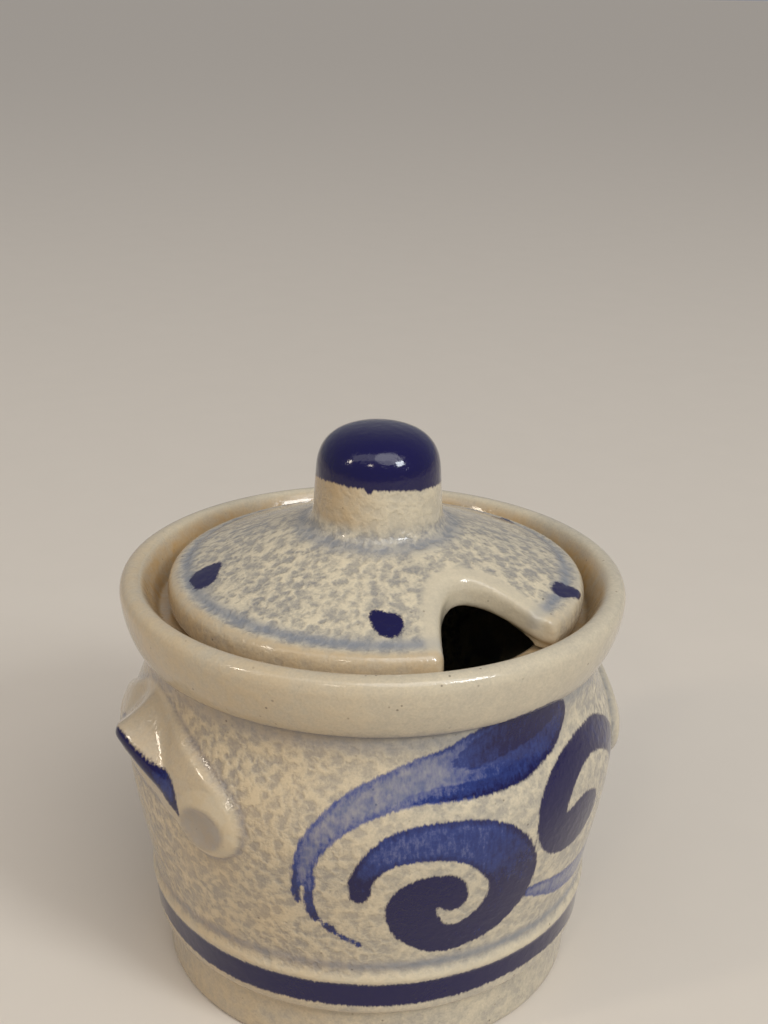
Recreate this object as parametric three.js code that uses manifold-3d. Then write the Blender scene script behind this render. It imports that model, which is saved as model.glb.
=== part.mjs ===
// A salt-glazed stoneware mustard pot with its loose lid.
// Millimetres, +Z up. The origin is the centre of the foot on the table.
// The two lug handles lie along X, and the painted front of the pot faces -Y.
import * as THREE from "three";
import { mergeVertices } from "three/addons/utils/BufferGeometryUtils.js";
import Module from "manifold-3d";

const wasm = await Module();
wasm.setup();

// Fineness of the faceted shapes
const TURN_SEGMENTS = 56; // flats round each turned piece
const CURVE_STEPS = 4; // chords along each curve of an outline
const BALL_COLUMNS = 16;
const BALL_ROWS = 10;

// Driving dimensions of the pot: radii, and heights above the table
const FOOT = { radius: 38.2, recess: 1.6, ring: 5, chamfer: 0.9, shoulder: 9.2 };
const BAND = { bottom: 11.4, top: 16.6, lowRadius: 40.3, topRadius: 40.8 };
const BEAD = { height: 17.4, radius: 41.4, grooveHeight: 19, grooveRadius: 40.7 };
const BELLY = { radius: 44.5, height: 44.5 };
const NECK = { radius: 40.9, height: 60.2 };
const RIM = { radius: 45, height: 75, fullest: 72.8, crest: 42.6, insideRadius: 38.6, flare: 0.6 };
const RIM_INSIDE = { upperPull: 40.2, lowerPull: 39.8, lowerHeight: 72 };
const WALL_PULL = { low: 26, belly: 36.5, shoulder: 52, neck: 54.5, underRim: 64.5, rim: 67.5 };
const LEDGE = { height: 68.6, radius: 32.2, thickness: 4.2, edge: 0.8 };
const INSIDE = { bellyRadius: 39.8, bellyHeight: 44, floorRadius: 35.6, floor: 7.2, floorRound: 7 };
const INSIDE_PULL = { shoulderRadius: 37, shoulder: 59, upper: 54, lower: 34, waistRadius: 36.4, waist: 24 };

// Driving dimensions of one lug handle, an arched ledge with both ends pressed on by a thumb
const LUG = {
  rootRadius: 40.5, // within the wall of the pot
  reach: 8.8, // from the root to the lip at the middle
  height: 49.9, // of the lip at the middle
  halfAngle: 30, // degrees round the pot from the middle to one end
  droop: 10.5, // the ends hang this much lower than the middle
  drawnIn: 0.9, // share of the reach lost at the ends
  rise: 12, // from the lip up to where the top face meets the neck
  drop: 7, // from the lip down to where the underside meets the wall
  lip: 1.5, // rounding of the lip
  stations: 16, // sections along its length
};
const THUMB = { angle: 26, height: 43.4, radius: 43, deep: 2.8, wide: 7.4, tall: 6.8 };
const PRESS = { angle: 25.5, height: 43.7, radius: 46.7, deep: 1.9, wide: 5.4, tall: 5 };

// Driving dimensions of the lid: radii, and heights above its seat on the ledge
const SEAT_GAP = 0.3; // the seat clears the ledge by this much
const OFF_CENTRE = { x: 0.5, y: -0.2 }; // the lid lies a little to one side
const LID = { radius: 37.1, edgeHeight: 6.3, edgeRound: 2.6, seatOutside: 36, seatInside: 33.4 };
const DOME = { footRadius: 33.2, footHeight: 6.9, topRadius: 13.4, topHeight: 14.7, thickness: 5.2 };
const KNOB = { footRadius: 11.5, fillet: 2, sideRadius: 11, sideHeight: 26, height: 32.5 };
const CROWN_PULL = { inward: 0.2, height: 29.6, radius: 7.6 };
const NOTCH = {
  deepest: 21.9, // distance of its inner end in front of the lid's axis
  sideways: 4.2, // distance of its middle line to the right of the lid's axis
  length: 22, // from the inner end out past the lid's edge
  halfMouth: 13.6, // half its width at that length
  lip: 2.2, // rounding of its upper edge
  depth: 14, // of the straight cut below the lip
  above: 2, // the cutter stands this much higher than the lip
};

// Colours of the glaze, seen until the looks are added
const POT_COLOUR = 0xb8b2a4;
const LID_COLOUR = 0xb5b0a6;
const GLAZE_ROUGHNESS = 0.35;

// Spin an outline of radius against height about the Z axis
function turned(outline) {
  const geometry = new THREE.LatheGeometry(outline.getPoints(CURVE_STEPS), TURN_SEGMENTS);
  return solidOf(geometry.rotateX(Math.PI / 2));
}

// A closed geometry as a solid
function solidOf(geometry) {
  const bare = geometry.clone();
  bare.deleteAttribute("normal");
  bare.deleteAttribute("uv");
  const merged = mergeVertices(bare, 1e-3);
  const mesh = new wasm.Mesh({
    numProp: 3,
    vertProperties: merged.attributes.position.array,
    triVerts: new Uint32Array(merged.index.array),
  });
  return new wasm.Manifold(mesh);
}

// A solid as a mesh with its name and colour
function meshOf(solid, name, color) {
  const { vertProperties, triVerts } = solid.getMesh();
  const geometry = new THREE.BufferGeometry();
  geometry.setAttribute("position", new THREE.BufferAttribute(vertProperties, 3));
  geometry.setIndex(new THREE.BufferAttribute(triVerts, 1));
  geometry.computeVertexNormals();
  const glaze = new THREE.MeshStandardMaterial({ color, roughness: GLAZE_ROUGHNESS });
  const mesh = new THREE.Mesh(geometry, glaze);
  mesh.name = name;
  return mesh;
}

// Pot wall from the foot up to the rim, over the crest, and down the hollow to its floor
function potOutline() {
  const p = new THREE.Path();
  const under = FOOT.radius - FOOT.ring;
  p.moveTo(0, FOOT.recess);
  p.lineTo(under - FOOT.recess, FOOT.recess);
  p.lineTo(under, 0);
  p.lineTo(FOOT.radius - FOOT.chamfer, 0);
  p.lineTo(FOOT.radius, FOOT.chamfer);
  p.lineTo(FOOT.radius, FOOT.shoulder);
  p.quadraticCurveTo(BAND.lowRadius, FOOT.shoulder + 0.6, BAND.lowRadius, BAND.bottom);
  p.lineTo(BAND.topRadius, BAND.top);
  p.quadraticCurveTo(BEAD.radius, BEAD.height, BEAD.grooveRadius, BEAD.grooveHeight);
  const wall = WALL_PULL;
  p.bezierCurveTo(BEAD.radius, wall.low, BELLY.radius, wall.belly, BELLY.radius, BELLY.height);
  p.bezierCurveTo(BELLY.radius, wall.shoulder, NECK.radius, wall.neck, NECK.radius, NECK.height);
  p.bezierCurveTo(NECK.radius, wall.underRim, RIM.radius - RIM.flare, wall.rim, RIM.radius, RIM.fullest);
  p.quadraticCurveTo(RIM.radius, RIM.height, RIM.crest, RIM.height);
  const roll = RIM_INSIDE;
  const rollEnd = LEDGE.height + LEDGE.edge;
  p.bezierCurveTo(roll.upperPull, RIM.height, roll.lowerPull, roll.lowerHeight, RIM.insideRadius, rollEnd);
  p.lineTo(RIM.insideRadius - LEDGE.edge, LEDGE.height);
  p.lineTo(LEDGE.radius + LEDGE.edge, LEDGE.height);
  p.lineTo(LEDGE.radius, LEDGE.height - LEDGE.edge);
  p.lineTo(LEDGE.radius + LEDGE.edge, LEDGE.height - LEDGE.thickness);
  const pull = INSIDE_PULL;
  const belly = INSIDE.bellyRadius;
  const roundTop = INSIDE.floor + INSIDE.floorRound;
  p.bezierCurveTo(pull.shoulderRadius, pull.shoulder, belly, pull.upper, belly, INSIDE.bellyHeight);
  p.bezierCurveTo(belly, pull.lower, pull.waistRadius, pull.waist, INSIDE.floorRadius, roundTop);
  p.quadraticCurveTo(INSIDE.floorRadius, INSIDE.floor, INSIDE.floorRadius - INSIDE.floorRound, INSIDE.floor);
  p.lineTo(0, INSIDE.floor);
  return p;
}

// Section of a lug handle, from its root in the wall out to the lip
function lugSection() {
  const s = new THREE.Shape();
  s.moveTo(0, LUG.rise);
  s.quadraticCurveTo(LUG.reach * 0.42, LUG.rise * 0.42, LUG.reach - LUG.lip * 0.6, LUG.lip);
  s.quadraticCurveTo(LUG.reach + LUG.lip * 0.2, 0, LUG.reach - LUG.lip * 0.5, -LUG.lip);
  s.quadraticCurveTo(LUG.reach * 0.55, -LUG.drop * 0.55, 0, -LUG.drop);
  s.closePath();
  return s;
}

// A lug handle: its section swept round the pot, drawn in and lowered towards both ends
function lug(middle) {
  const steps = { depth: 2, steps: LUG.stations, curveSegments: CURVE_STEPS, bevelEnabled: false };
  const bar = new THREE.ExtrudeGeometry(lugSection(), steps).translate(0, 0, -1);
  const at = bar.attributes.position;
  for (let i = 0; i < at.count; i++) {
    const share = at.getZ(i);
    const angle = middle - THREE.MathUtils.degToRad(LUG.halfAngle) * share;
    const radius = LUG.rootRadius + at.getX(i) * (1 - LUG.drawnIn * share ** 2);
    const height = LUG.height + at.getY(i) - LUG.droop * share ** 2;
    at.setXYZ(i, radius * Math.cos(angle), radius * Math.sin(angle), height);
  }
  return solidOf(bar);
}

// A flattened ball on the wall: a thumb pad, or the dent that is pressed into one
function ball(size, angle) {
  const geometry = new THREE.SphereGeometry(1, BALL_COLUMNS, BALL_ROWS);
  geometry.rotateX(Math.PI / 2);
  geometry.scale(size.deep, size.wide, size.tall);
  geometry.translate(size.radius, 0, size.height);
  return solidOf(geometry.rotateZ(angle));
}

// Pot: the turned body with both lug handles in one piece
function pot() {
  let body = turned(potOutline());
  for (const middle of [0, Math.PI]) {
    let handle = lug(middle);
    for (const side of [-1, 1]) {
      handle = handle.add(ball(THUMB, middle + side * THREE.MathUtils.degToRad(THUMB.angle)));
    }
    for (const side of [-1, 1]) {
      handle = handle.subtract(ball(PRESS, middle + side * THREE.MathUtils.degToRad(PRESS.angle)));
    }
    body = body.add(handle);
  }
  return meshOf(body, "pot", POT_COLOUR);
}

// Lid from the hollow underside round the seat and edge, up the dome and over the knob
function lidOutline() {
  const p = new THREE.Path();
  const underTop = DOME.topHeight - DOME.thickness;
  const rounded = LID.radius - LID.edgeRound;
  p.moveTo(0, underTop);
  p.lineTo(DOME.topRadius, underTop);
  p.lineTo(LID.seatInside - 1, 1);
  p.lineTo(LID.seatInside, 0);
  p.lineTo(LID.seatOutside, 0);
  p.quadraticCurveTo(LID.radius, 0.4, LID.radius, LID.edgeHeight / 2);
  p.quadraticCurveTo(LID.radius, LID.edgeHeight, rounded, LID.edgeHeight);
  p.quadraticCurveTo(DOME.footRadius + 0.3, LID.edgeHeight, DOME.footRadius, DOME.footHeight);
  p.lineTo(DOME.topRadius, DOME.topHeight);
  p.quadraticCurveTo(KNOB.footRadius, DOME.topHeight + 0.7, KNOB.footRadius, DOME.topHeight + KNOB.fillet);
  p.lineTo(KNOB.sideRadius, KNOB.sideHeight);
  const shoulder = KNOB.sideRadius - CROWN_PULL.inward;
  p.bezierCurveTo(shoulder, CROWN_PULL.height, CROWN_PULL.radius, KNOB.height, 0, KNOB.height);
  return p;
}

// Cutter of the spoon notch: a curve open to the front, flaring up to the slope of the dome
function notchCutter() {
  const shape = new THREE.Shape();
  shape.moveTo(-NOTCH.halfMouth, -NOTCH.length);
  shape.quadraticCurveTo(0, NOTCH.length, NOTCH.halfMouth, -NOTCH.length);
  shape.closePath();
  const levels = CURVE_STEPS + 2;
  const steps = { depth: levels, steps: levels, curveSegments: 4 * CURVE_STEPS, bevelEnabled: false };
  const geometry = new THREE.ExtrudeGeometry(shape, steps);
  const at = geometry.attributes.position;
  for (let i = 0; i < at.count; i++) {
    const level = at.getZ(i);
    const turn = (THREE.MathUtils.clamp(level - 1, 0, CURVE_STEPS) / CURVE_STEPS) * (Math.PI / 2);
    const spread = NOTCH.lip * (1 - Math.cos(turn));
    const straight = NOTCH.depth * Math.min(level, 1) + NOTCH.above * Math.max(level - levels + 1, 0);
    const height = straight + NOTCH.lip * Math.sin(turn);
    at.setXYZ(i, at.getX(i) * (1 + spread / NOTCH.halfMouth), at.getY(i) + spread, height);
  }
  const slope = (DOME.topHeight - DOME.footHeight) / (DOME.footRadius - DOME.topRadius);
  const inner = Math.hypot(NOTCH.deepest, NOTCH.sideways);
  const topThere = DOME.footHeight + slope * (DOME.footRadius - inner);
  geometry.applyMatrix4(new THREE.Matrix4().makeShear(0, 0, 0, slope, 0, 0));
  geometry.translate(NOTCH.sideways, -NOTCH.deepest, topThere - NOTCH.depth - NOTCH.lip);
  return solidOf(geometry);
}

// Lid: the turned dome and knob with the spoon notch cut from its edge
function lid() {
  const mesh = meshOf(turned(lidOutline()).subtract(notchCutter()), "lid", LID_COLOUR);
  mesh.position.set(OFF_CENTRE.x, OFF_CENTRE.y, LEDGE.height + SEAT_GAP);
  return mesh;
}

const mustardPot = new THREE.Group();
mustardPot.name = "mustard_pot";
mustardPot.add(pot(), lid());
export default mustardPot;
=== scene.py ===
"""Looks of a salt-glazed stoneware mustard pot: grey orange-peel glaze, cobalt scrolls, loose lid."""

import math

import bmesh
import bpy
import numpy as np
from mathutils import Matrix, Vector


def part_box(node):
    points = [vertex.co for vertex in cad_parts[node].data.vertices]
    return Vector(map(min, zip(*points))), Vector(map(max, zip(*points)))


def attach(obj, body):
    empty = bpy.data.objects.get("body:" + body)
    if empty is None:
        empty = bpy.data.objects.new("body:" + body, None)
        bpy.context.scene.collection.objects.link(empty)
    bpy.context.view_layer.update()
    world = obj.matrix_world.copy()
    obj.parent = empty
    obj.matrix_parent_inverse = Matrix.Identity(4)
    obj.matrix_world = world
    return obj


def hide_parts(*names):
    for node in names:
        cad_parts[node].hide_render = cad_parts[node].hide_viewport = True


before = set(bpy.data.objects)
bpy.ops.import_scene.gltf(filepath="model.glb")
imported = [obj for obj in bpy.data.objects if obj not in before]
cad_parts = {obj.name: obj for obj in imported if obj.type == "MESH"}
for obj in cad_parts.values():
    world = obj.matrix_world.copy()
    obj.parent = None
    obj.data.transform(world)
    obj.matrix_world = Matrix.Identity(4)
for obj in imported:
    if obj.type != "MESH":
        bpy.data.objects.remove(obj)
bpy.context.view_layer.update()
POT_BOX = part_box("pot")
LID_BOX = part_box("lid")
LID_HEIGHT = LID_BOX[1].z - LID_BOX[0].z

bl_info = {
    "name": "Stoneware mustard pot",
    "version": (1, 0, 0),
    "blender": (4, 5, 0),
    "location": "View3D > Sidebar > Mustard Pot",
    "description": "Builds a salt-glazed mustard pot with painted scrolls and a notched lid",
    "category": "Add Mesh",
}

# Sizes below are in millimetres and degrees; MM turns them into the frame's metres
MM = 0.001
FRONT_TURN = 28.0  # from the viewer's line of sight to the painted front
WALL_RADIUS = 44.0  # radius at which lengths round the wall are measured
FAR = 9.0  # stands for a distance where nothing is near

# Brush strokes on the wall: along the wall, height, half width, strength of the cobalt
SWEEP = (
    (36.6, 60.2, 3.4, 0.95), (34.0, 60.0, 4.9, 0.9), (30.0, 59.4, 5.7, 0.85), (24.0, 58.5, 5.9, 0.75),
    (19.0, 57.6, 5.4, 0.62), (14.0, 56.6, 4.4, 0.45), (8.0, 55.8, 3.5, 0.36), (2.0, 54.0, 2.9, 0.33),
    (-3.0, 51.5, 2.6, 0.33), (-6.8, 48.2, 2.3, 0.36), (-9.3, 44.6, 2.0, 0.4), (-10.3, 41.2, 1.8, 0.45),
    (-10.4, 38.8, 1.4, 0.5),
)
SWEEP_TOP = (
    (36.0, 62.2, 1.6, 1.1), (31.0, 61.6, 2.9, 1.1), (25.5, 60.8, 3.0, 1.05), (20.0, 59.4, 2.6, 0.9),
    (15.5, 58.0, 1.2, 0.7),
)
SWEEP_EDGE = (
    (33.0, 55.6, 1.2, 0.85), (27.0, 53.9, 1.3, 0.85), (19.0, 53.5, 1.3, 0.8), (11.0, 53.6, 1.0, 0.6),
    (6.5, 53.2, 0.6, 0.45),
)
OUTER_TAIL = ((-11.3, 41.0, 0.9, 0.5), (-11.8, 37.0, 0.7, 0.65), (-11.5, 34.2, 0.55, 0.75))
INNER_TAIL = (
    (-9.3, 39.0, 0.9, 0.5), (-9.6, 34.5, 0.7, 0.65), (-9.0, 31.4, 0.85, 0.75), (-7.6, 29.9, 0.35, 0.6),
    (-6.4, 28.8, 0.8, 0.8), (-5.2, 27.6, 0.35, 0.6), (-4.1, 26.9, 0.5, 0.7), (-2.7, 26.2, 0.38, 0.6),
    (-1.2, 25.2, 0.55, 0.7),
)
SCROLL = (
    (-1.3, 36.4, 1.75, 1.15), (-1.0, 39.6, 1.9, 1.0), (1.4, 43.2, 2.4, 0.72), (5.5, 45.6, 3.0, 0.64),
    (11.0, 46.0, 3.3, 0.68), (17.0, 45.0, 3.9, 0.7), (22.0, 42.0, 4.7, 0.82), (25.3, 37.3, 4.9, 1.0),
    (25.3, 32.5, 4.8, 1.1), (22.3, 28.3, 4.0, 1.1), (17.5, 25.9, 3.0, 1.1), (12.5, 25.7, 3.1, 1.2),
    (8.3, 29.3, 4.1, 1.25), (7.2, 33.5, 4.2, 1.25), (9.4, 36.0, 3.6, 1.25), (12.9, 36.0, 3.3, 1.25),
    (14.4, 34.3, 2.6, 1.2),
)
FACING_SCROLL = (
    (61.5, 37.0, 1.2, 0.9), (60.0, 43.0, 2.0, 0.95), (56.5, 48.5, 2.8, 1.0), (51.0, 52.0, 2.9, 1.0),
    (45.0, 52.9, 2.6, 1.1), (39.0, 51.4, 3.0, 1.15), (34.6, 48.0, 3.8, 1.2), (33.3, 44.0, 3.7, 1.25),
    (34.6, 40.8, 3.7, 1.25), (38.0, 39.5, 4.2, 1.2), (42.0, 40.0, 4.6, 1.1), (44.8, 40.3, 3.6, 1.15),
)
UNDER_SWEEP = (
    (29.6, 30.3, 0.9, 0.45), (34.0, 29.0, 1.6, 0.42), (40.0, 27.2, 2.2, 0.42), (48.0, 26.3, 2.4, 0.4),
    (55.0, 26.6, 1.9, 0.4), (61.0, 28.2, 0.8, 0.4),
)
WALL_STROKES = (SWEEP, SWEEP_TOP, SWEEP_EDGE, OUTER_TAIL, INNER_TAIL, SCROLL, FACING_SCROLL, UNDER_SWEEP)

# Part of the wall that the strokes lie on: degrees from the viewer, heights
STROKES_SPAN = {"middle": 30.0, "half_turn": 62.0, "low": 20.0, "high": 68.0}

# Half of the brush line on a lug's lip: along it from its peak, height above it, half width, strength
LIP_LINE = ((0.0, -0.5, 1.6, 1.1), (8.0, 0.0, 1.6, 1.0), (12.6, 0.6, 1.8, 0.8), (15.4, -0.6, 0.5, 1.0))

# Cobalt dabs on the lid: angle from the viewer, radius, half length round the lid, half length outward
LID_DABS = (
    (-71.7, 30.9, 3.5, 2.6), (3.3, 29.1, 2.7, 2.6), (72.2, 34.2, 2.7, 2.3), (131.3, 32.4, 2.8, 2.4),
    (-159.0, 31.8, 2.8, 2.5),
)


def srgb(code):
    """A web colour as linear red, green and blue."""
    parts = (int(code[i : i + 2], 16) / 255 for i in (1, 3, 5))
    return tuple(c / 12.92 if c <= 0.04045 else ((c + 0.055) / 1.055) ** 2.4 for c in parts)


# Settings that a user would change
def length(name, description, millimetres):
    """A property for a length."""
    return bpy.props.FloatProperty(
        name=name,
        description=description,
        default=millimetres * MM,
        min=0.0,
        subtype="DISTANCE",
        unit="LENGTH",
    )


def colour(name, description, code):
    """A property for a colour."""
    return bpy.props.FloatVectorProperty(
        name=name,
        description=description,
        default=srgb(code),
        size=3,
        min=0.0,
        max=1.0,
        subtype="COLOR",
    )


def brightness(name, description, amount, unit="NONE"):
    """A property for the strength of a light."""
    return bpy.props.FloatProperty(name=name, description=description, default=amount, min=0.0, unit=unit)


class PotSizes(bpy.types.PropertyGroup):
    """Sizes of the pot, radii and heights above the table"""

    rim_radius: length("Rim radius", "Outside radius of the rolled rim", POT_BOX[1].y / MM)
    rim_height: length("Rim height", "Height of the rim's crest", POT_BOX[1].z / MM)
    belly_radius: length("Belly radius", "Widest radius of the wall", 44.5)
    neck_radius: length("Neck radius", "Narrow radius under the rim", 40.9)
    foot_radius: length("Foot radius", "Radius of the foot", 38.2)
    ledge_height: length("Ledge height", "Height of the ledge that carries the lid", 68.6)
    lug_reach: length("Lug reach", "How far a lug handle's lip stands from its root", 8.5)


class LidSizes(bpy.types.PropertyGroup):
    """Sizes of the lid"""

    radius: length("Lid radius", "Outside radius of the lid", 37.0)
    thickness: length("Lid thickness", "Thickness of the dome", 5.2)
    knob_radius: length("Knob radius", "Radius of the knob", 11.2)
    knob_height: length("Knob height", "Height of the knob's top above the seat", LID_HEIGHT / MM)
    notch_lip: length("Notch lip", "Rounding of the spoon notch's edges", 2.1)


class GlazeColours(bpy.types.PropertyGroup):
    """Colours of the glaze, of the cobalt painting, and of the painted light and shade"""

    # Besides the glaze's ridges, this creamy colour is painted as highlights on raised edges, the rim, the
    # lug tops and the knob's lit side
    cream: colour("Cream", "Ridges of the glaze", "#d4c6aa")
    stone: colour("Stone", "Pits between the ridges", "#82807e")
    # Thick pooling glaze in grooves, and painted shade in the grooves and creases
    pooled: colour("Pooled", "Thick glaze in grooves", "#767c87")
    # Ochre on the rim's inner wall, and painted warm light on the left sides of the pot, the knob and the
    # lid's edge
    ochre: colour("Ochre", "Warm bare places", "#b08a52")
    speck: colour("Speck", "Iron specks in the glaze", "#453b34")
    wash: colour("Wash", "Thin cobalt", "#3f5c88")
    cobalt: colour("Cobalt", "Brushed cobalt", "#2f4180")
    navy: colour("Navy", "Thick cobalt", "#0f0a40")
    # Painted shade: this dark colour fills the inside of the covered pot and darkens the underside of the lid
    inside: colour("Inside", "Dark slip inside the pot", "#1c130d")


class StageSettings(bpy.types.PropertyGroup):
    """Floor and light"""

    floor: colour("Floor", "Colour of the floor", "#d9cfc2")
    key: brightness("Key light", "Power of the window light", 5.0, unit="POWER")
    daylight: brightness("Daylight", "Strength of the daylight", 0.8)
    sky: brightness("Sky", "Strength of the light all round", 0.3)


class MustardPotSettings(bpy.types.PropertyGroup):
    """All settings of the mustard pot"""

    pot: bpy.props.PointerProperty(type=PotSizes)
    lid: bpy.props.PointerProperty(type=LidSizes)
    glaze: bpy.props.PointerProperty(type=GlazeColours)
    stage: bpy.props.PointerProperty(type=StageSettings)


# Shader maths
class Wire:
    """A shader value that adds Math nodes when it is used in an expression."""

    def __init__(self, graph, socket):
        self.graph = graph
        self.socket = socket

    def math(self, operation, first, second):
        """A Math node on two values."""
        return self.graph.node("ShaderNodeMath", {"operation": operation}, {0: first, 1: second})

    def __add__(self, other):
        return self.math("ADD", self, other)

    __radd__ = __add__

    def __sub__(self, other):
        return self.math("SUBTRACT", self, other)

    def __rsub__(self, other):
        return self.math("SUBTRACT", other, self)

    def __mul__(self, other):
        return self.math("MULTIPLY", self, other)

    __rmul__ = __mul__

    def held(self, low=0.0, high=1.0):
        """The value kept between two limits."""
        return self.math("MAXIMUM", self.math("MINIMUM", self, high), low)

    def ramp(self, start, end):
        """A soft step from 0 at start to 1 at end."""
        return self.graph.node(
            "ShaderNodeMapRange",
            {"interpolation_type": "SMOOTHSTEP"},
            {"Value": self, "From Min": start, "From Max": end},
        )


class Graph:
    """A new material and its nodes."""

    def __init__(self, name):
        self.material = bpy.data.materials.new(name)
        self.material.use_nodes = True
        self.tree = self.material.node_tree
        self.tree.nodes.clear()

    def node(self, kind, settings=None, inputs=None, output=0):
        """A node of a kind with its settings, and its sockets set or linked; gives one of its outputs."""
        made = self.tree.nodes.new(kind)
        for name, value in (settings or {}).items():
            setattr(made, name, value)
        for name, value in (inputs or {}).items():
            if isinstance(value, Wire):
                self.tree.links.new(value.socket, made.inputs[name])
            else:
                made.inputs[name].default_value = value
        return Wire(self, made.outputs[output]) if made.outputs else None

    def place(self):
        """The place on the piece, in metres."""
        return self.node("ShaderNodeTexCoord", output="Object")

    def attribute(self, name):
        """A value painted on the piece's points."""
        return self.node("ShaderNodeAttribute", {"attribute_name": name}, output="Fac")

    def noise(self, place, size, detail=2.0, roughness=0.5, output="Fac"):
        """Soft noise with grains of a size."""
        values = {"Vector": place, "Scale": 1.0 / size, "Detail": detail, "Roughness": roughness}
        return self.node("ShaderNodeTexNoise", {}, values, output=output)

    def vector(self, operation, *inputs):
        """A Vector Math node."""
        return self.node("ShaderNodeVectorMath", {"operation": operation}, dict(enumerate(inputs)))

    def mix(self, share, first, second):
        """A blend of two colours."""
        paints = [paint if isinstance(paint, Wire) else (*paint, 1.0) for paint in (first, second)]
        return self.node(
            "ShaderNodeMix",
            {"data_type": "RGBA", "clamp_factor": True},
            {0: share, 6: paints[0], 7: paints[1]},
            output=2,
        )

    def surface(self, **inputs):
        """Closes the graph with a shader, whose sockets are named with underscores for spaces."""
        sockets = {name.replace("_", " "): value for name, value in inputs.items()}
        shader = self.node("ShaderNodeBsdfPrincipled", {}, sockets)
        self.node("ShaderNodeOutputMaterial", {}, {"Surface": shader})
        return self.material


# Outlines and turned pieces
class Outline:
    """A chain of points of radius and height."""

    def __init__(self, radius, height, spacing):
        self.points = [(radius, height)]
        self.spacing = spacing

    def curve(self, *controls):
        """A straight line, or a curve of one or two controls, to the last point given."""
        chain = [np.array(self.points[-1])] + [np.array(c, float) for c in controls]
        reach = sum(np.linalg.norm(b - a) for a, b in zip(chain, chain[1:]))
        count = max(2, math.ceil(reach / self.spacing))
        for step in range(1, count + 1):
            level = chain
            while len(level) > 1:
                level = [a + (b - a) * step / count for a, b in zip(level, level[1:])]
            self.points.append(tuple(level[0]))


def turned(name, outline, steps):
    """A closed solid spun from an outline that starts and ends on the axis."""
    bm = bmesh.new()
    chain = [bm.verts.new((radius * MM, 0.0, height * MM)) for radius, height in outline.points]
    edges = [bm.edges.new(pair) for pair in zip(chain, chain[1:])]
    bmesh.ops.spin(
        bm,
        geom=chain + edges,
        cent=(0, 0, 0),
        axis=(0, 0, 1),
        angle=math.tau,
        steps=steps,
        use_merge=True,
    )
    bmesh.ops.remove_doubles(bm, verts=bm.verts, dist=1e-6)
    bmesh.ops.recalc_face_normals(bm, faces=bm.faces)
    return finished(name, bm)


def finished(name, bm):
    """The bmesh as a smooth-shaded object in the scene."""
    mesh = bpy.data.meshes.new(name)
    bm.to_mesh(mesh)
    bm.free()
    mesh.shade_smooth()
    made = bpy.data.objects.new(name, mesh)
    bpy.context.scene.collection.objects.link(made)
    return made


def places(mesh):
    """The mesh's points, in millimetres."""
    flat = np.empty(len(mesh.vertices) * 3)
    mesh.vertices.foreach_get("co", flat)
    return flat.reshape(-1, 3) / MM


def set_places(mesh, points):
    """Moves the mesh's points to places in millimetres."""
    mesh.vertices.foreach_set("co", (points * MM).ravel())
    mesh.update()


def paint_values(mesh, **fields):
    """Each field as a value on the mesh's points."""
    for name, values in fields.items():
        attribute = mesh.attributes.new(name, "FLOAT", "POINT")
        attribute.data.foreach_set("value", np.asarray(values, np.float32))


# Soft joins and soft masks
def soft_max(a, b, blend):
    """The larger of two values, with a rounded join."""
    return a + blend * np.logaddexp(0.0, (b - a) / blend)


def soft_min(a, b, blend):
    """The smaller of two values, with a rounded join."""
    return -soft_max(-a, -b, blend)


def eased(value, start, end):
    """A soft step from 0 at start to 1 at end."""
    share = np.clip((value - start) / (end - start), 0.0, 1.0)
    return share * share * (3.0 - 2.0 * share)


def hump(value, middle, width):
    """A soft hump, 1 at its middle."""
    return np.exp(-(((value - middle) / width) ** 2))


def largest(*fields):
    """The largest of several fields at each point."""
    return np.maximum.reduce(fields)


# Brush strokes
def brushed(points, between=14):
    """The stroke's points joined by a smooth curve."""
    points = np.array(points)
    ends = np.vstack([2 * points[0] - points[1], points, 2 * points[-1] - points[-2]])
    share = np.linspace(0.0, 1.0, between, endpoint=False)[:, None]
    parts = []
    for a, b, c, d in zip(ends, ends[1:], ends[2:], ends[3:]):
        square = 2 * a - 5 * b + 4 * c - d
        cube = 3 * b - a - 3 * c + d
        parts.append(0.5 * (2 * b + (c - a) * share + square * share**2 + cube * share**3))
    parts.append(points[-1:])
    return np.vstack(parts)


def stroke_fields(strokes, along, height):
    """Distance to the nearest stroke's edge, negative inside, and the strength of its cobalt."""
    edge = np.full(along.shape, FAR)
    strength = np.zeros(along.shape)
    for stroke in strokes:
        line = brushed(stroke)
        gaps = np.hypot(along[:, None] - line[:, 0], height[:, None] - line[:, 1]) - line[:, 2]
        nearest = gaps.argmin(axis=1)
        gap = gaps[np.arange(len(along)), nearest]
        wet = line[nearest, 3]
        both = (gap < 0) & (edge < 0)
        strength = np.where(both, np.maximum(strength, wet), np.where(gap < edge, wet, strength))
        edge = np.minimum(edge, gap)
    return edge, strength


def painted_over(edge, strength, new_edge, new_strength):
    """One painted field with another laid over it."""
    return np.minimum(edge, new_edge), np.where(new_edge < edge, new_strength, strength)


# Pot
FOOT = {"hollow": 1.6, "slope": 6.6, "ring": 5.0, "round": 0.9, "top": 8.6}
STEP = {"radius": 40.3, "low": 11.4, "top_radius": 40.75, "high": 16.5}
BEAD = {"radius": 41.0, "height": 18.1}
BELLY_HEIGHT = 44.5
NECK_HEIGHT = 60.2
CREASE = 63.7  # height at which the rolled rim folds over the neck
RIM = {"inset": 0.15, "height": 72.6, "crest": 42.6}
LEDGE = {"outer": 37.4, "inner": 33.0, "throat": 32.2}
HOLLOW = {"radius": 39.8, "height": 44.0, "low_radius": 35.6, "low": 14.2, "floor": 7.2}
POT_STEPS = 360

# Heights, and the radius beyond which a point lies on the outside of the wall
OUTSIDE = ((0, 33), (9, 36), (12, 38.5), (62, 38.5), (68, 40.5), (75, 41.5))

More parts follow.
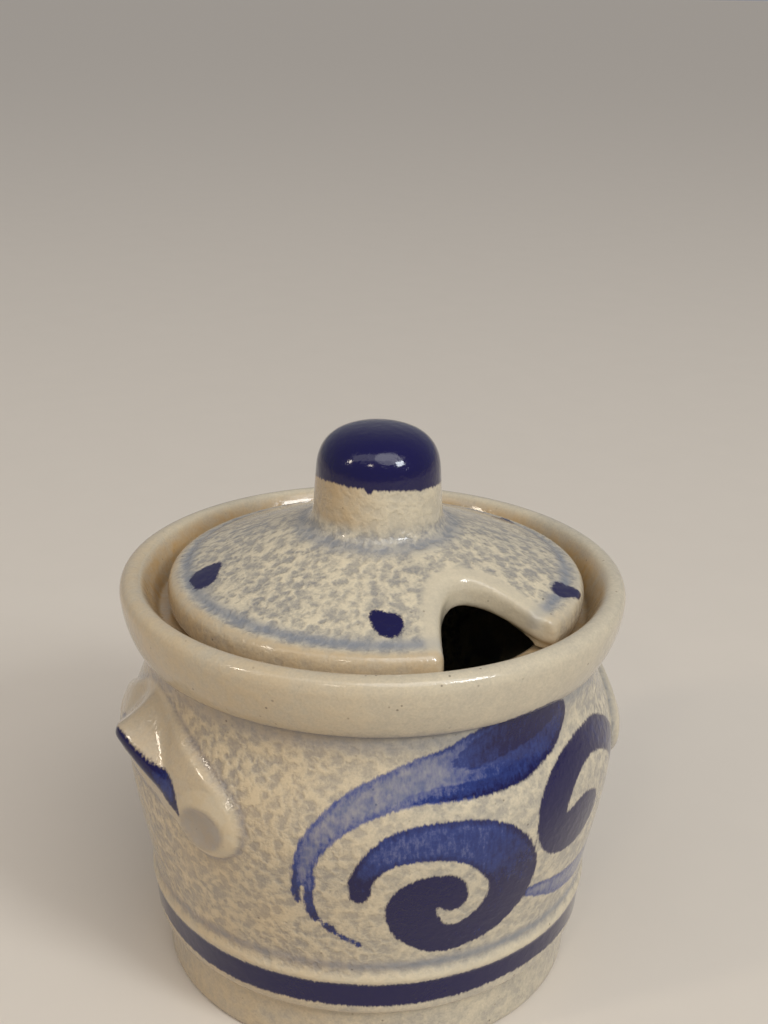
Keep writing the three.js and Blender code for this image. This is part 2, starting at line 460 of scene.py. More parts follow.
WAVER = 0.0016  # share of the radius by which the thrown wall wavers
BAND = {"low": 12.0, "high": 16.7, "strength": 1.3}
LUG = {
    "root": 40.5, "height": 53.4, "half_angle": 30.0, "droop": 13.0, "drawn_in": 0.8, "rise": 7.2,
    "growth": 0.6, "drop": 7.5, "lip": 1.5, "lip_radius": 47.0, "peak_round": 0.0006,
}
LUG_ZONE = {"radius": 40.3, "low": 30.0, "high": 66.0}
LIP_ZONE = {"radius": 44.6, "share": 0.9, "above": 7.0}
STRAP_EDGE = {"proud": 1.3, "round": 1.5}  # the lug's clay stands proud of the wall along its whole edge
THUMB = {"angle": 26.3, "height": 44.5, "proud": 2.0, "wide": 6.7, "tall": 6.3}
PRESS = {"angle": 25.4, "height": 43.6, "deep": 1.7, "wide": 4.7, "tall": 3.9}

# Half of the edge of a lug's clay: degrees from its middle, height
STRAP = (
    (0.0, 60.9), (5.0, 60.2), (10.0, 58.4), (16.0, 56.2), (22.0, 54.0), (27.0, 52.2), (31.0, 50.4),
    (33.6, 48.5), (34.9, 46.0), (34.7, 43.3), (33.0, 40.9), (30.0, 39.2), (26.5, 38.5), (22.6, 39.0),
    (19.4, 40.8), (16.5, 42.2), (10.0, 43.5), (0.0, 44.0),
)


def pot_outline(sizes):
    """The pot's half section, from under the foot up the wall and down the inside to the floor."""
    foot, belly, neck = sizes.foot_radius / MM, sizes.belly_radius / MM, sizes.neck_radius / MM
    rim, top, ledge = sizes.rim_radius / MM - RIM["inset"], sizes.rim_height / MM, sizes.ledge_height / MM
    step, bead, bead_up = STEP["radius"], BEAD["radius"], BEAD["height"]
    inside, waist, low, floor = HOLLOW["radius"], HOLLOW["height"], HOLLOW["low_radius"], HOLLOW["floor"]
    crest, full = RIM["crest"], RIM["height"]

    o = Outline(0.0, FOOT["hollow"], 3.0)
    o.curve((foot - FOOT["slope"], FOOT["hollow"]))
    o.curve((foot - FOOT["ring"], 0.0))
    o.curve((foot - FOOT["round"], 0.0))
    o.spacing = 0.5
    o.curve((foot - 0.1, 0.05), (foot, FOOT["round"]))
    o.curve((foot, FOOT["top"]))
    o.curve((foot, FOOT["top"] + 0.8), (step, FOOT["top"] + 1.0), (step, STEP["low"]))
    o.curve((STEP["top_radius"], STEP["high"]))
    o.curve((bead - 0.1, bead_up - 1.1), (bead + 0.3, bead_up - 0.8), (bead, bead_up))
    o.curve((bead - 0.25, bead_up + 0.6), (bead - 0.4, bead_up + 0.8), (bead - 0.3, bead_up + 1.5))
    o.curve((bead + 0.4, bead_up + 7.9), (belly, BELLY_HEIGHT - 8.0), (belly, BELLY_HEIGHT))
    o.curve((belly, BELLY_HEIGHT + 7.5), (neck, NECK_HEIGHT - 5.7), (neck, NECK_HEIGHT))
    o.curve((neck, CREASE - 0.6), (neck + 0.1, CREASE))
    o.curve((neck + 0.7, CREASE + 0.05), (neck + 1.4, CREASE + 0.6))
    o.curve((neck + 2.3, CREASE + 2.0), (rim - 0.3, full - 4.1), (rim, full))
    o.curve((rim, full + 1.7), (crest + 1.3, top), (crest, top))
    o.curve((crest - 2.0, top), (crest - 2.6, full - 0.6), (LEDGE["outer"] + 1.2, ledge + 0.9))
    o.curve((LEDGE["outer"] + 0.9, ledge), (LEDGE["outer"], ledge))
    o.spacing = 1.0
    o.curve((LEDGE["inner"], ledge))
    o.curve((LEDGE["throat"], ledge), (LEDGE["throat"], ledge - 0.8))
    o.curve((LEDGE["inner"], ledge - 4.2))
    o.spacing = 2.5
    o.curve((inside - 2.8, waist + 15.0), (inside, waist + 10.0), (inside, waist))
    o.curve((inside, waist - 10.0), (low + 0.8, HOLLOW["low"] + 9.8), (low, HOLLOW["low"]))
    o.curve((low, floor), (low - 7.0, floor))
    o.spacing = 4.0
    o.curve((0.0, floor))
    return o


def lug_section(reach):
    """Heights from the lip and radii beyond the root, on the outside of a lug handle."""
    lip, rise, drop = LUG["lip"], LUG["rise"], LUG["drop"]
    o = Outline(0.0, rise, 0.25)
    o.curve((reach * 0.42, rise * 0.42), (reach - lip * 0.6, lip))
    o.curve((reach + lip * 0.2, 0.0), (reach - lip * 0.5, -lip))
    o.curve((reach * 0.55, -drop * 0.55), (0.0, -drop))
    radius, height = np.array(o.points[::-1]).T
    return height, radius


def lug_place(turn, height):
    """Share of the way from a lug's peak to its end, and height above its lip."""
    share = np.sqrt((turn / LUG["half_angle"]) ** 2 + LUG["peak_round"])
    above = height - (LUG["height"] - LUG["droop"] * share)
    return share, np.where(above > 0, above / (1 + LUG["growth"] * share), above)


def oval(size, turn, height, side):
    """Distance from the middle of a thumb mark, 1 at its edge."""
    across = np.radians(turn - side * size["angle"]) * WALL_RADIUS
    return (across / size["wide"]) ** 2 + ((height - size["height"]) / size["tall"]) ** 2


def strap_depth(turn, height):
    """How far a point lies within the edge of the lug's clay."""
    half = [(math.radians(angle) * WALL_RADIUS, level) for angle, level in STRAP]
    ring = half + [(-across, level) for across, level in half[-2:0:-1]]
    across = np.radians(turn) * WALL_RADIUS
    nearest = np.full(turn.shape, 99.0)
    within = np.zeros(turn.shape, bool)
    for (ax, ay), (bx, by) in zip(ring, ring[1:] + ring[:1]):
        dx, dy = bx - ax, by - ay
        run = np.clip(((across - ax) * dx + (height - ay) * dy) / (dx**2 + dy**2), 0, 1)
        nearest = np.minimum(nearest, np.hypot(across - ax - run * dx, height - ay - run * dy))
        crosses = (ay > height) != (by > height)
        if dy != 0:
            within ^= crosses & (across < ax + dx * (height - ay) / dy)
    return np.where(within, nearest, -nearest)


def with_lug(radius, turn, height, reach):
    """The wall's radius with a lug handle raised on it."""
    share, above = lug_place(turn, height)
    heights, radii = lug_section(reach)
    beyond = np.interp(above, heights, radii, left=-FAR, right=-FAR)
    lug = LUG["root"] + beyond * (1 - LUG["drawn_in"] * share)
    inward = np.clip(strap_depth(turn, height) / STRAP_EDGE["round"], 0.0, 1.0)
    proud = STRAP_EDGE["proud"] * (0.25 + 0.75 * eased(np.abs(turn), 6.0, 16.0))
    strap = radius + proud * np.sqrt(1 - (1 - inward) ** 2)
    grown = np.where(share < 1, soft_max(strap, np.where(inward > 0, lug, 0.0), 0.25), strap)
    for side in (-1, 1):
        thumb = oval(THUMB, turn, height, side)
        pad = radius + THUMB["proud"] * np.sqrt(np.clip(1 - thumb, 0, 1))
        grown = np.where(thumb < 1, soft_max(grown, pad, 0.2), grown)
    for side in (-1, 1):
        press = oval(PRESS, turn, height, side)
        floor = radius + THUMB["proud"] + 0.25 - PRESS["deep"] * np.sqrt(np.clip(1 - press, 0, 1))
        grown = np.where(press < 1, soft_min(grown, floor, 0.15), grown)
    return grown


def round_pot(points):
    """Radius, angle from the painted front, angle from the nearer handle, and height."""
    x, y, height = points.T
    front = np.degrees(np.arctan2(x, -y))
    handle = np.degrees(np.arctan2(y, np.abs(x))) * np.where(x > 0, 1, -1)
    return np.hypot(x, y), front, handle, height


def shape_pot(mesh, sizes):
    """Raises the lug handles on the turned wall, and lets it waver as a thrown wall does."""
    points = places(mesh)
    radius, front, handle, height = round_pot(points)
    wall = (radius > LUG_ZONE["radius"]) & (height > LUG_ZONE["low"]) & (height < LUG_ZONE["high"])
    grown = radius.copy()
    grown[wall] = with_lug(radius[wall], handle[wall], height[wall], sizes.lug_reach / MM)
    angle = np.radians(front)
    waver = 0.5 * np.sin(2 * angle + 0.6)
    waver += 0.3 * np.sin(3 * angle + 2.0 + height * 0.05)
    waver += 0.2 * np.sin(5 * angle + height * 0.11)
    grown *= 1 - WAVER * (1 + waver)
    scale = np.divide(grown, radius, out=np.ones_like(radius), where=radius > 1e-3)
    points[:, :2] *= scale[:, None]
    set_places(mesh, points)


def pot_cobalt(outside, radius, front, handle, height):
    """Distance to the edge of the painting on the pot, and its strength: strokes, foot band, lugs' lips."""
    edge = np.full(radius.shape, FAR)
    strength = np.full(radius.shape, 0.9)
    for half in (0.0, 180.0):
        turn = (front - half + 180.0) % 360.0 - 180.0 + FRONT_TURN
        along = np.radians(turn) * WALL_RADIUS
        near = outside & (np.abs(turn - STROKES_SPAN["middle"]) < STROKES_SPAN["half_turn"])
        near &= (height > STROKES_SPAN["low"]) & (height < STROKES_SPAN["high"])
        edge[near], strength[near] = stroke_fields(WALL_STROKES, along[near], height[near])
    angle = np.radians(front)
    wander = 0.25 * np.sin(3 * angle + 1) + 0.15 * np.sin(7 * angle)
    band = np.maximum(BAND["low"] + wander - height, height - BAND["high"] - 0.3 * wander)
    edge, strength = painted_over(edge, strength, np.where(outside, band, FAR), BAND["strength"])
    share, above = lug_place(handle, height)
    near = outside & (radius > LIP_ZONE["radius"]) & (share < LIP_ZONE["share"])
    near &= np.abs(above) < LIP_ZONE["above"]
    mirrored = [(-along, *rest) for along, *rest in LIP_LINE[:0:-1]]
    lip = stroke_fields(([*mirrored, *LIP_LINE],), np.radians(handle[near]) * LUG["lip_radius"], above[near])
    edge[near], strength[near] = painted_over(edge[near], strength[near], *lip)
    return edge, strength


def paint_pot(mesh):
    """Where the cobalt, the smooth places, the pooling glaze with painted shade, the painted highlights, the
    ochre with painted warm light and the painted shade inside lie on the pot.
    """
    radius, front, handle, height = round_pot(places(mesh))
    outside = radius > np.interp(height, *zip(*OUTSIDE))
    edge, strength = pot_cobalt(outside, radius, front, handle, height)
    press = np.minimum(oval(PRESS, handle, height, -1), oval(PRESS, handle, height, 1))
    thumb = np.minimum(oval(THUMB, handle, height, -1), oval(THUMB, handle, height, 1))
    depth = np.where(outside, strap_depth(handle, height), -FAR)
    on_lug = eased(depth, -0.3, 0.5)
    on_rim = eased(height, CREASE - 0.7, CREASE + 3.3) * eased(radius, 40.0, 42.0)
    painted_side = eased(np.abs(np.cos(np.radians(front))), 0.7, 0.95)
    smooth = largest(on_lug, eased(height, 60, 65), 0.75 * eased(height, 19.5, 17.5), 0.5 * painted_side)
    # Pooling glaze and painted shade: darker in the groove over the bead, the crease under the rim, the thumb
    # presses and the crease round each lug
    pooled = largest(
        0.9 * hump(height, BEAD["height"] + 2.2, 1.1),
        0.95 * hump(height, CREASE, 0.7),
        0.6 * hump(height, CREASE - 1.5, 1.8),
        0.9 * outside * eased(press, 1.0, 0.75),
        0.85 * hump(depth, -0.5, 0.55),
        0.15 * on_lug,
    )
    # Painted highlights in a creamy colour along the bead, the thumb pads' rings, the lug's edge, the rim and
    # the lug tops
    cream = largest(
        hump(height, BEAD["height"] - 0.4, 0.8),
        0.8 * outside * eased(thumb, 1.05, 0.8) * eased(press, 0.95, 1.15),
        0.7 * hump(depth, 0.75, 0.4),
        0.45 * on_rim,
        0.3 * on_lug,
    )
    # Ochre on the rim's inner wall, and painted warm light on the pot's left side
    warm = largest(
        0.9 * eased(height, 67.5, 69.0) * eased(radius, 42.0, 39.5),
        0.35 * outside * eased(np.cos(np.radians(front + 85)), 0.2, 1.0),
    )
    # Painted shade: dark inside the pot
    painted_shade = eased(radius, 41.0, 40.0) * eased(height, 4.0, 6.0) * eased(height, 67.8, 66.0)
    paint_values(
        mesh,
        cobalt=edge,
        strength=strength,
        smooth=smooth,
        pooled=pooled,
        cream=cream,
        warm=warm,
        inside=np.where(outside, 0.0, painted_shade),
    )


# Lid, with heights above its seat
DOME = {"foot_radius": 33.2, "foot_height": 6.9, "top_radius": 13.4, "top_height": 14.7}
DOME_SLOPE = (DOME["top_height"] - DOME["foot_height"]) / (DOME["foot_radius"] - DOME["top_radius"])
SEAT = {"inner": 32.2, "outer": 35.6, "height": 0.1, "under": 11.0}
LID_EDGE = {"widest": 3.1, "top": 6.3, "round": 2.2}
KNOB = {"shoulder": 24.6, "crown": 8.2}
NOTCH = {
    "deepest": 21.9, "sideways": 4.2, "length": 22.0, "half_mouth": 13.6, "left_corner": 1.8,
    "right_corner": 4.5, "under_lip": 1.5, "steps": 61,
}
CUTTER = {"above": 4.0, "sunk": 0.15, "lifted": 0.9, "below": -9.0}
SKIN = {"grain": 0.42, "rounds": 8}
LID_STEPS = 180
LID_PLACE = (0.5, -0.2)  # the lid lies a little to one side
CAP = {"height": 24.5, "tilt": 1.4, "run": 0.9, "run_turn": -8.5, "strength": 1.35}
DAB = {"squareness": 2.6, "slant": 0.25, "wobble": 0.1, "lowest": 5.0, "strength": 1.15}


def lid_outline(sizes):
    """The lid's half section, from its underside round the edge to the top of the knob."""
    radius, knob, top = sizes.radius / MM, sizes.knob_radius / MM, sizes.knob_height / MM
    under = DOME["top_height"] - sizes.thickness / MM
    crest, dome_top, dome_radius = LID_EDGE["top"], DOME["top_height"], DOME["top_radius"]
    inner, seat = SEAT["inner"], SEAT["height"]

    o = Outline(0.0, under, 1.0)
    o.curve((SEAT["under"], under))
    o.curve((dome_radius + 2, under), (dome_radius + 4, under - 1.4))
    o.curve((inner, seat + 1.1))
    o.curve((inner + 0.8, seat), (inner + 1.8, seat))
    o.curve((SEAT["outer"], seat))
    o.spacing = 0.5
    o.curve((radius, seat + 0.2), (radius, LID_EDGE["widest"]))
    o.curve((radius, crest - 0.1), (radius - LID_EDGE["round"], crest))
    o.curve((radius - 3.0, crest), (radius - 3.4, crest), (DOME["foot_radius"], DOME["foot_height"]))
    o.curve((dome_radius + 1.2, dome_top - 0.6))
    o.curve((knob + 1.2, dome_top), (knob + 0.3, dome_top + 0.8), (knob + 0.2, dome_top + 2.6))
    o.curve((knob - 0.3, KNOB["shoulder"]))
    o.curve((knob - 0.5, KNOB["shoulder"] + 4.8), (KNOB["crown"], top), (0.0, top))
    return o


def notch_ring(sizes, spread):
    """Plan of the spoon notch, open to the front, widened by a spread."""
    ring = []
    for share in np.linspace(-1.0, 1.0, NOTCH["steps"]):
        half = NOTCH["half_mouth"] * share
        y = -NOTCH["deepest"] - NOTCH["length"] * share**2
        corner = NOTCH["right_corner"] if share > 0 else NOTCH["left_corner"]
        inset = max(sizes.radius / MM - math.hypot(NOTCH["sideways"] + half, y), 0.0)
        opened = corner - math.sqrt(max(corner**2 - max(corner - inset, 0.0) ** 2, 0.0))
        widened = half + math.copysign(opened + spread * min(1.0, abs(share) * 3), share)
        ring.append((NOTCH["sideways"] + widened, y + spread * (1 - min(1.0, abs(share) * 1.2))))
    return ring


def notch_cutter(sizes):
    """The solid that cuts the spoon notch, waisted so that both edges of the cut are rounded."""
    lip, under_lip = sizes.notch_lip / MM, NOTCH["under_lip"]
    inner = math.hypot(NOTCH["deepest"], NOTCH["sideways"])
    top = DOME["foot_height"] + DOME_SLOPE * (DOME["foot_radius"] - inner)
    upper_waist = top + CUTTER["sunk"] - lip
    lower_waist = top - sizes.thickness / MM + CUTTER["lifted"]
    levels = [(top + CUTTER["above"], lip)]
    for turn in np.linspace(math.pi / 2, 0.0, 6):
        levels.append((upper_waist + lip * math.sin(turn), lip * (1 - math.cos(turn))))
    for turn in np.linspace(0.0, math.pi / 2, 5):
        levels.append((lower_waist - under_lip * math.sin(turn), under_lip * (1 - math.cos(turn))))
    levels.append((CUTTER["below"], under_lip))
    bm = bmesh.new()
    rings = []
    for height, spread in levels:
        ring = []
        for x, y in notch_ring(sizes, spread):
            z = height + DOME_SLOPE * (y + NOTCH["deepest"])
            ring.append(bm.verts.new((x * MM, y * MM, z * MM)))
        rings.append([bm.edges.new(pair) for pair in zip(ring, ring[1:] + ring[:1])])
    for upper, lower in zip(rings, rings[1:]):
        bmesh.ops.bridge_loops(bm, edges=upper + lower)
    bmesh.ops.edgeloop_fill(bm, edges=rings[0])
    bmesh.ops.edgeloop_fill(bm, edges=rings[-1])
    bmesh.ops.triangulate(bm, faces=[f for f in bm.faces if len(f.verts) > 4])
    bmesh.ops.recalc_face_normals(bm, faces=bm.faces)
    return finished("notch_cutter", bm)


def cut_and_softened(solid, cutter):
    """Cuts the solid with the cutter, and softens every edge as under a glaze."""
    cut = solid.modifiers.new("Notch", "BOOLEAN")
    cut.operation = "DIFFERENCE"
    cut.solver = "EXACT"
    cut.object = cutter
    remesh = solid.modifiers.new("Skin", "REMESH")
    remesh.mode = "VOXEL"
    remesh.voxel_size = SKIN["grain"] * MM
    remesh.use_smooth_shade = True
    soften = solid.modifiers.new("Soften", "SMOOTH")
    soften.factor = 0.5
    soften.iterations = SKIN["rounds"]
    bpy.context.view_layer.update()
    result = bpy.data.meshes.new_from_object(solid.evaluated_get(bpy.context.evaluated_depsgraph_get()))
    solid.modifiers.clear()
    bare, spare = solid.data, cutter.data
    solid.data = result
    bpy.data.objects.remove(cutter)
    bpy.data.meshes.remove(bare)
    bpy.data.meshes.remove(spare)
    result.shade_smooth()


def lid_cobalt(radius, seen, height):
    """Distance to the edge of the painting on the lid, and its strength: the knob's cap and the dabs."""
    angle = np.radians(seen)
    cap = CAP["height"] - CAP["tilt"] * (1 - np.cos(angle + 0.17))
    cap -= 0.35 * eased(seen, -11.0, -5.0) - 0.12 * np.sin(5 * angle + 0.4)
    cap -= CAP["run"] * hump(seen, CAP["run_turn"], 2.4)
    edge = cap - height
    strength = np.full(radius.shape, CAP["strength"])
    power = DAB["squareness"]
    for turn, out, wide, deep in LID_DABS:
        across = np.radians((seen - turn + 180.0) % 360.0 - 180.0) * out
        outward = radius - out - DAB["slant"] * across
        size = (np.abs(across / wide) ** power + np.abs(outward / deep) ** power) ** (1 / power)
        size += DAB["wobble"] * np.sin(3 * np.arctan2(outward, across) + math.radians(turn))
        dab = np.where(height > DAB["lowest"], (size - 1) * min(wide, deep), FAR)
        edge, strength = painted_over(edge, strength, dab, DAB["strength"])
    return edge, strength


def paint_lid(mesh):
    """Where the cobalt, the smooth places, the pooling glaze with painted shade, the painted highlights, the
    painted warm light and the painted shade underneath lie on the lid.
    """
    x, y, height = places(mesh).T
    radius = np.hypot(x, y)
    seen = np.degrees(np.arctan2(x, -y)) + FRONT_TURN
    angle = np.radians(seen)
    edge, strength = lid_cobalt(radius, seen, height)
    notch_run = np.clip(-y - NOTCH["deepest"] + 2.5, 0, None)
    notch_side = NOTCH["half_mouth"] * np.sqrt(notch_run / NOTCH["length"])
    by_notch = eased(np.abs(x - NOTCH["sideways"]) - notch_side, 3.4, 1.2) * eased(-y, 17.5, 20.0)
    on_knob = eased(height, 16.5, 18.5)
    smooth = largest(0.55 * eased(height, 15.5, 17.5), by_notch, 0.8 * eased(radius, 34.6, 36.0))
    # Pooling glaze and painted shade in the groove at the dome's foot and round the knob's foot
    pooled = largest(
        0.9 * hump(radius, DOME["foot_radius"] + 0.3, 1.2) * (height > 4),
        0.7 * hump(radius, DOME["top_radius"], 1.6) * (height < 19),
    )
    # Painted highlights on the lid's rolled edge and the notch's edges, and painted light on the knob's right
    # side
    cream = largest(
        0.6 * eased(radius, 34.8, 36.2) * eased(height, 4.0, 5.5),
        0.75 * by_notch,
        0.7 * on_knob * eased(np.cos(angle - 0.6), -0.5, 0.7),
    )
    # Painted warm light on the left of the knob and of the lid's edge
    warm = largest(
        0.55 * on_knob * eased(np.cos(angle + 1.25), 0.1, 0.9),
        0.45 * eased(radius, 34.5, 36.0) * eased(np.cos(angle + 0.6), -0.6, 0.6),
    )
    paint_values(
        mesh,
        cobalt=edge,
        strength=strength,
        smooth=smooth,
        pooled=pooled,
        cream=cream,
        warm=warm,
        # Painted shade under the lid
        inside=np.where((height < 3.0) & (radius < 31), 0.35, 0.0),
    )


# Glaze, with the sizes of its grains in millimetres
GRAIN = {
    "broad": 26.0, "patch": 8.0, "speck_patch": 5.0, "spread": 1.5, "stir": 1 / 0.7, "streak": 0.55,
    "fine": 0.42,
}
PEEL = {"scale": 0.56, "smoothness": 0.5, "bend": 2.2, "relief": 0.26}
SPECK_SCALE = 0.55


def glaze(name, colours):
    """Salt glaze with orange-peel grains, pooling glaze and painted shade in grooves, painted highlights,
    painted warm light, painted shade inside, and brushed cobalt.
    """
    g = Graph(name)
    place = g.vector("MULTIPLY", g.place(), (1 / MM, 1 / MM, 1 / MM))
    smooth, pooled, cream = g.attribute("smooth"), g.attribute("pooled"), g.attribute("cream")
    warm, inside = g.attribute("warm"), g.attribute("inside")

    # Orange peel of the salt glaze: tan ridges round blue-grey pits
    stir = g.noise(place, GRAIN["stir"], 1.0, output="Color")
    bent = g.vector("MULTIPLY_ADD", stir, (PEEL["bend"],) * 3, place)
    cell = g.node(
        "ShaderNodeTexVoronoi",
        {"feature": "SMOOTH_F1"},
        {"Vector": bent, "Scale": PEEL["scale"], "Smoothness": PEEL["smoothness"]},
        output="Distance",
    )
    broad = g.noise(place, GRAIN["broad"])
    patch = g.noise(place, GRAIN["patch"])
    spread = g.noise(place, GRAIN["spread"], 3.0, 0.6)
    fine = g.noise(place, GRAIN["fine"], 2.0, 0.65)
    ridge = (cell * 0.9 + (spread - 0.5) * 1.3).ramp(0.1, 0.8)
    peel = (1 - smooth * 0.8) * (0.4 + broad).held(0.35, 1.0)

    # Clay and glaze under the painting, with painted shade, painted highlights and painted warm light
    tone = (0.6 + (ridge - 0.5) * peel * 0.75 + (patch - 0.5) * 0.45 + (fine - 0.5) * 0.65).held()
    skin = g.mix(tone, colours.stone, colours.cream)
    # Pooling glaze and painted shade in grooves and creases
    skin = g.mix(pooled * (0.65 + patch * 0.4), skin, colours.pooled)
    # Painted highlights
    skin = g.mix(cream * 0.7, skin, colours.cream)
    # Ochre, and painted warm light on the left sides
    skin = g.mix(warm * (patch * 1.2 + ridge * 0.3).held(), skin, colours.ochre)
    dots = g.node("ShaderNodeTexVoronoi", {}, {"Vector": place, "Scale": SPECK_SCALE}, output="Distance")
    speck = dots.ramp(0.15, 0.07) * g.noise(place, GRAIN["speck_patch"]).ramp(0.5, 0.66)
    skin = g.mix(speck * 0.6, skin, colours.speck)

    # Cobalt brushed on before firing
    streak = g.noise(g.vector("MULTIPLY", place, (1.0, 1.0, 0.3)), GRAIN["streak"], 3.0, 0.6)
    ragged = g.attribute("cobalt") + (streak - 0.5) * 1.2 + (patch - 0.5) * 0.5
    painted = ragged.ramp(0.28, -0.28)
    dark_edge = ragged.ramp(-1.5, -0.3) * 0.2
    grainy = (streak - 0.5) * 0.45 + (fine - 0.5) * 0.3 + (0.5 - ridge) * 0.2 * peel + (spread - 0.5) * 0.35
    depth = (g.attribute("strength") + grainy + dark_edge - 0.06).held()
    thin = g.mix((depth * 2.0).held(), colours.wash, colours.cobalt)
    blue = g.mix((depth * 2.0 - 1.0).held(), thin, colours.navy)
    skin = g.mix(painted * (0.36 + depth).held(), skin, blue)
    # Painted shade inside the pot and under the lid
    skin = g.mix(inside, skin, colours.inside)

    relief = ridge * peel * (1 - painted * 0.6) + fine * 0.06 + patch * 0.6 - painted * 0.12
    bump = g.node("ShaderNodeBump", {}, {"Strength": 0.75, "Distance": PEEL["relief"] * MM, "Height": relief})
    return g.surface(
        Base_Color=skin,
        Roughness=(0.17 + ridge * peel * 0.1 + (fine - 0.5) * 0.08 - painted * 0.05).held(0.06, 0.5),
        Normal=bump,
        IOR=1.45,
        Specular_IOR_Level=0.3,
        Coat_Weight=0.45,
        Coat_Roughness=0.03,
    )


def placed(piece, node, material):
    """Puts a finished piece in the place of its CAD node."""
    piece.data.materials.clear()
    piece.data.materials.append(material)
    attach(piece, "root")
    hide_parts(node)


class MUSTARD_OT_pot(bpy.types.Operator):
    """Builds the pot with its lug handles and painted scrolls"""

    bl_idname = "mustard.pot"
    bl_label = "Pot"

    def execute(self, context):
        settings = context.scene.mustard_pot
        pot = turned("stoneware_pot", pot_outline(settings.pot), POT_STEPS)
        shape_pot(pot.data, settings.pot)
        paint_pot(pot.data)
        placed(pot, "pot", glaze("pot_salt_glaze", settings.glaze))
        return {"FINISHED"}


class MUSTARD_OT_lid(bpy.types.Operator):
    """Builds the lid with its knob and spoon notch"""

    bl_idname = "mustard.lid"
    bl_label = "Lid"

    def execute(self, context):
        settings = context.scene.mustard_pot
        lid = turned("stoneware_lid", lid_outline(settings.lid), LID_STEPS)
        cut_and_softened(lid, notch_cutter(settings.lid))
        paint_lid(lid.data)
        seat = (LID_PLACE[0] * MM, LID_PLACE[1] * MM, LID_BOX[0].z)
        lid.data.transform(Matrix.Translation(seat))
        placed(lid, "lid", glaze("lid_salt_glaze", settings.glaze))
        return {"FINISHED"}


# Stage: the camera in millimetres, the floor and the lamps in metres
CAMERA = {
    "distance": 230.617, "height": 172.14, "down": 20.632, "aside": 0.4116, "roll": 1.2217, "lens": 49.22,
}
FLOOR = {"half_width": 25.0, "grain": 0.02, "shade": 0.86, "roughness": 0.7}
SKY_TINT = (0.95, 0.96, 1.0, 1.0)
COOL = (0.92, 0.97, 1.0)
WARM = (1.0, 0.88, 0.72)
PALE = (1.0, 0.97, 0.93)
AIM_HEIGHT = 0.06

# Lamps: name, degrees aside of the viewer, degrees up, distance, width and height, share of the key, tint
LAMPS = (
    ("window", 47.0, 36.0, 1.2, (0.28, 0.26), 1.0, COOL),
    ("left_lamp", -62.0, 33.0, 1.1, (0.08, 0.15), 0.25, WARM),
    ("front_lamp", -17.0, 35.0, 1.1, (0.12, 0.09), 0.13, WARM),
    ("top_lamp", 0.0, 62.0, 1.3, (2.2, 0.5), 0.8, PALE),
)
SUN = {"spread": 40.0, "tilt": 35.0, "turn": 25.0}


def floor_material(tint):
    """A matt floor with a faint grain."""
    g = Graph("pale_floor")
    grain = g.noise(g.place(), FLOOR["grain"], 3.0, 0.6)
    toned = g.mix(grain * 0.25, tint, [part * FLOOR["shade"] for part in tint])
    return g.surface(Base_Color=toned, Roughness=FLOOR["roughness"])


def linked(name, data):
    """A new object for a lamp or a camera, in the scene."""
    made = bpy.data.objects.new(name, data)
    bpy.context.scene.collection.objects.link(made)
    return made


def lamp(name, aside, up, away, size, power, tint):
    """A rectangular light, placed by its angles from the viewer's line of sight."""
    light = bpy.data.lights.new(name, "AREA")
    light.shape = "RECTANGLE"
    light.size, light.size_y = size
    light.energy = power
    light.color = tint
    turn, rise = math.radians(aside - FRONT_TURN), math.radians(up)
    out = Vector((math.sin(turn) * math.cos(rise), -math.cos(turn) * math.cos(rise), math.sin(rise)))
    made = linked(name, light)
    made.location = out * away + Vector((0.0, 0.0, AIM_HEIGHT))
    made.rotation_euler = out.to_track_quat("Z", "Y").to_euler()


def daylight(strength):
    """A broad sun from behind the viewer."""
    light = bpy.data.lights.new("daylight", "SUN")
    light.energy = strength
    light.angle = math.radians(SUN["spread"])
    turn = math.radians(SUN["turn"] - FRONT_TURN)
    linked("daylight", light).rotation_euler = (math.radians(SUN["tilt"]), 0.0, turn)


def photo_camera():
    """The camera, in front of the pot and looking down on it."""
    down, aside, roll = (math.radians(CAMERA[angle]) for angle in ("down", "aside", "roll"))
    ahead = Vector((math.sin(aside) * math.cos(down), math.cos(aside) * math.cos(down), -math.sin(down)))
    level = Vector((math.cos(aside), -math.sin(aside), 0.0))
    upright = level.cross(ahead)
    right = level * math.cos(roll) + upright * math.sin(roll)
    up = upright * math.cos(roll) - level * math.sin(roll)
    pose = Matrix((right, up, -ahead)).transposed().to_4x4()
    pose.translation = Vector((0.0, -CAMERA["distance"], CAMERA["height"])) * MM
    data = bpy.data.cameras.new("photo_camera")
    data.sensor_width = 36.0
    data.lens = CAMERA["lens"]
    data.clip_start = 0.01
    camera = linked("photo_camera", data)
    camera.matrix_world = Matrix.Rotation(math.radians(-FRONT_TURN), 4, "Z") @ pose
    bpy.context.scene.camera = camera


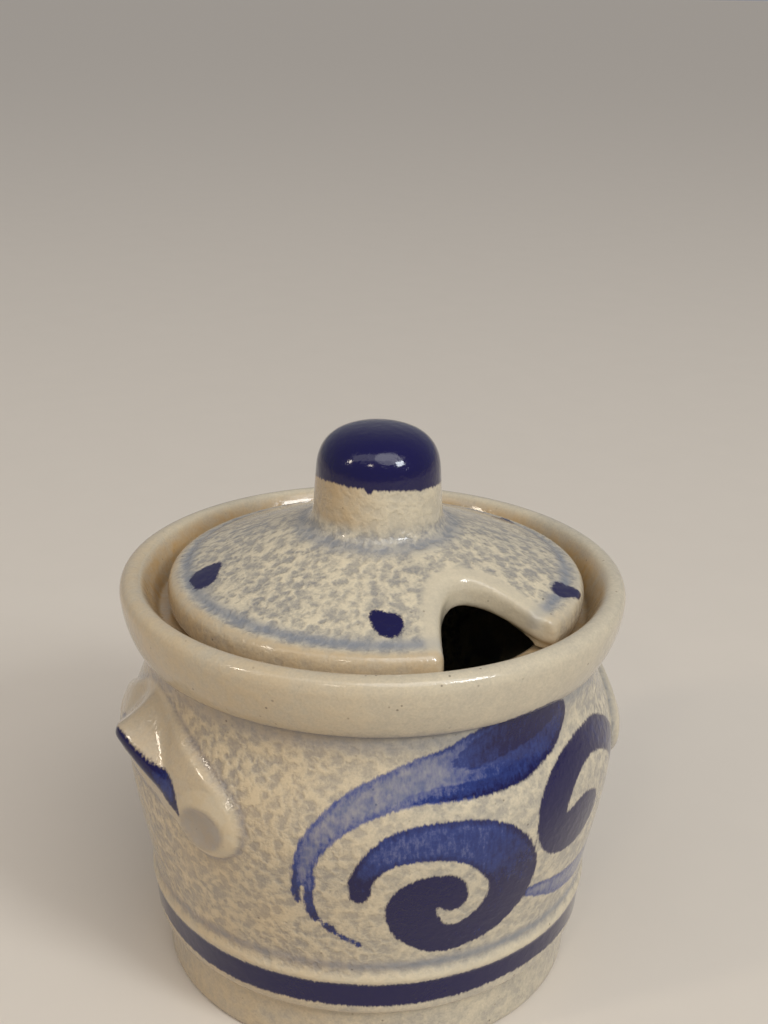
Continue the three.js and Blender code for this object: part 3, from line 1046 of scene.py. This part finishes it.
class MUSTARD_OT_stage(bpy.types.Operator):
    """Sets up the floor, the light and the camera"""

    bl_idname = "mustard.stage"
    bl_label = "Stage"

    def execute(self, context):
        stage = context.scene.mustard_pot.stage
        bm = bmesh.new()
        bmesh.ops.create_grid(bm, x_segments=8, y_segments=8, size=FLOOR["half_width"])
        floor = finished("floor", bm)
        floor.data.materials.append(floor_material(stage.floor))

        world = bpy.data.worlds.new("studio_sky")
        world.use_nodes = True
        background = world.node_tree.nodes["Background"]
        background.inputs["Color"].default_value = SKY_TINT
        background.inputs["Strength"].default_value = stage.sky
        context.scene.world = world
        context.scene.view_settings.view_transform = "Standard"
        for name, aside, up, away, size, share, tint in LAMPS:
            lamp(name, aside, up, away, size, stage.key * share, tint)
        daylight(stage.daylight)
        photo_camera()
        return {"FINISHED"}


class MUSTARD_PT_panel(bpy.types.Panel):
    """Lists the pieces of the mustard pot and its settings"""

    bl_idname = "MUSTARD_PT_panel"
    bl_label = "Mustard Pot"
    bl_space_type = "VIEW_3D"
    bl_region_type = "UI"
    bl_category = "Mustard Pot"

    def draw(self, context):
        settings = context.scene.mustard_pot
        for operator in (MUSTARD_OT_pot, MUSTARD_OT_lid, MUSTARD_OT_stage):
            self.layout.operator(operator.bl_idname)
        for group in (settings.pot, settings.lid, settings.glaze, settings.stage):
            box = self.layout.box()
            for name in group.__annotations__:
                box.prop(group, name)


CLASSES = (
    PotSizes, LidSizes, GlazeColours, StageSettings, MustardPotSettings,
    MUSTARD_OT_pot, MUSTARD_OT_lid, MUSTARD_OT_stage, MUSTARD_PT_panel,
)


def register():
    for cls in CLASSES:
        bpy.utils.register_class(cls)
    bpy.types.Scene.mustard_pot = bpy.props.PointerProperty(type=MustardPotSettings)


def unregister():
    del bpy.types.Scene.mustard_pot
    for cls in reversed(CLASSES):
        bpy.utils.unregister_class(cls)


def main():
    """Builds the pot, the lid and the stage."""
    register()
    bpy.ops.mustard.pot()
    bpy.ops.mustard.lid()
    bpy.ops.mustard.stage()


if __name__ == "__main__":
    main()
